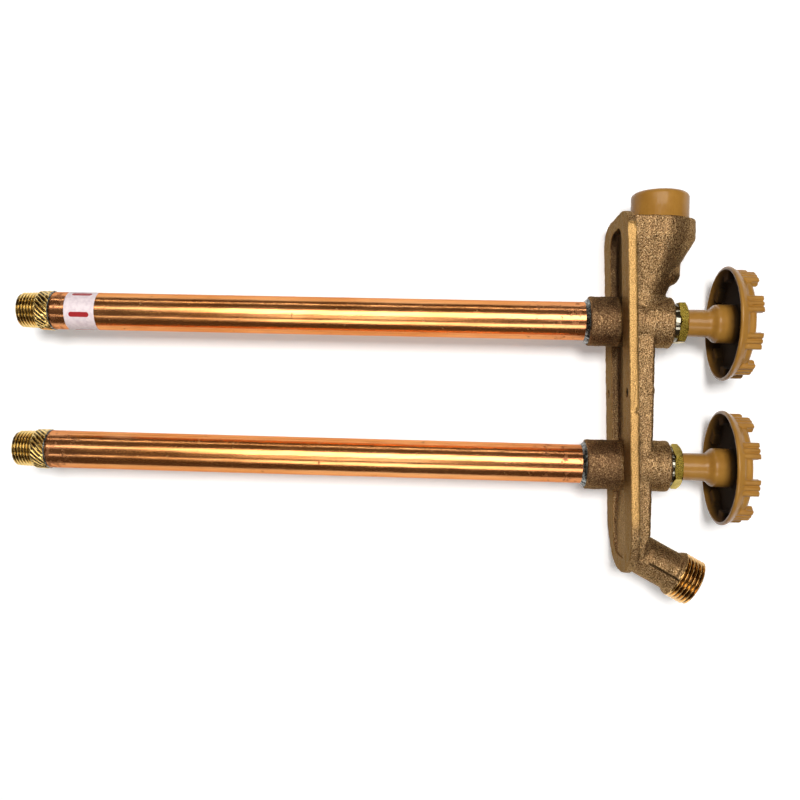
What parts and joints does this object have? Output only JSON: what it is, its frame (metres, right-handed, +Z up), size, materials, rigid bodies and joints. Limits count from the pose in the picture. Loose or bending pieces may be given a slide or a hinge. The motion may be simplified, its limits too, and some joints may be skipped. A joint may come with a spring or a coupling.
{
  "type": "frost-free wall hydrant",
  "caption": "Hot and cold frost-free hydrant that mixes two supplies: long copper casings through a wall, bronze flange body, handwheels, vacuum breaker and angled hose spout.",
  "frame": {"origin": "centre of the flange's back, in the wall's face, midway between the two wall screws and the tubes", "axes": "+Y into the wall along the casing tubes, +Z up, handwheels and spout towards -Y; the tubes rise 2 degrees into the wall"},
  "size_m": [0.0688, 0.4287, 0.2362],
  "materials": {
    "cast_bronze": "grainy sand-cast bronze, wire-brushed, flange edge ground bright",
    "turned_brass": "bright machined brass",
    "copper": "drawn copper tube with light handling marks",
    "solder": "dull silver-grey tin solder",
    "label": "white adhesive label with small red marks",
    "handwheel": "die-cast wheel with a bronze-coloured coating",
    "stem_brass": "turned brass",
    "packing": "black graphited packing",
    "washer": "pressed brass washer",
    "seat_rubber": "black moulded rubber",
    "screw_steel": "stainless steel",
    "cap_plastic": "tan moulded plastic",
    "float_plastic": "off-white moulded plastic"
  },
  "bodies": {
    "hydrant_body": {"body_casting": "cast_bronze", "hot_casing_tube": "copper", "hot_body_solder": "solder", "hot_inlet_fitting": "turned_brass", "hot_inlet_solder": "solder", "hot_packing_washer": "washer", "hot_packing": "packing", "hot_packing_nut": "turned_brass", "cold_casing_tube": "copper", "cold_body_solder": "solder", "cold_inlet_fitting": "turned_brass", "cold_inlet_solder": "solder", "cold_packing_washer": "washer", "cold_packing": "packing", "cold_packing_nut": "turned_brass", "hot_label": "label", "breaker_bonnet": "turned_brass", "bonnet_ring": "seat_rubber", "breaker_cap": "cap_plastic"},
    "breaker_float": {"breaker_float": "float_plastic", "float_seal": "seat_rubber"},
    "hot_plunger": {"hot_plunger": "stem_brass", "hot_seat_washer": "seat_rubber"},
    "hot_spindle": {"hot_operating_rod": "stem_brass", "hot_plunger_screw": "screw_steel", "hot_stem": "stem_brass", "hot_rod_pin": "screw_steel", "hot_handle": "handwheel", "hot_handle_screw": "screw_steel"},
    "cold_plunger": {"cold_plunger": "stem_brass", "cold_seat_washer": "seat_rubber"},
    "cold_spindle": {"cold_operating_rod": "stem_brass", "cold_plunger_screw": "screw_steel", "cold_stem": "stem_brass", "cold_rod_pin": "screw_steel", "cold_handle": "handwheel", "cold_handle_screw": "screw_steel"}
  },
  "joints": [
    {"name": "hot_stem_travel", "type": "slide", "parent": "hydrant_body", "child": "hot_plunger", "axis": [0, -0.9994, -0.0349], "range_m": [0, 0.00397]},
    {"name": "hot_handle_turn", "type": "hinge", "parent": "hot_plunger", "child": "hot_spindle", "pos_m": [0, -0.0614, 0.03916], "axis": [0, -0.9994, -0.0349], "range_deg": [0, 450]},
    {"name": "cold_stem_travel", "type": "slide", "parent": "hydrant_body", "child": "cold_plunger", "axis": [0, -0.9994, -0.0349], "range_m": [0, 0.00397]},
    {"name": "cold_handle_turn", "type": "hinge", "parent": "cold_plunger", "child": "cold_spindle", "pos_m": [0, -0.05852, -0.04334], "axis": [0, -0.9994, -0.0349], "range_deg": [0, 450]},
    {"name": "breaker_float_lift", "type": "slide", "parent": "hydrant_body", "child": "breaker_float", "axis": [0, -0.0349, 0.9994], "range_m": [0, 0.00395]}
  ],
  "couplings": [
    {"joint": "hot_handle_turn", "follows": "hot_stem_travel", "rad_per_m": 1979},
    {"joint": "cold_handle_turn", "follows": "cold_stem_travel", "rad_per_m": 1979}
  ]
}
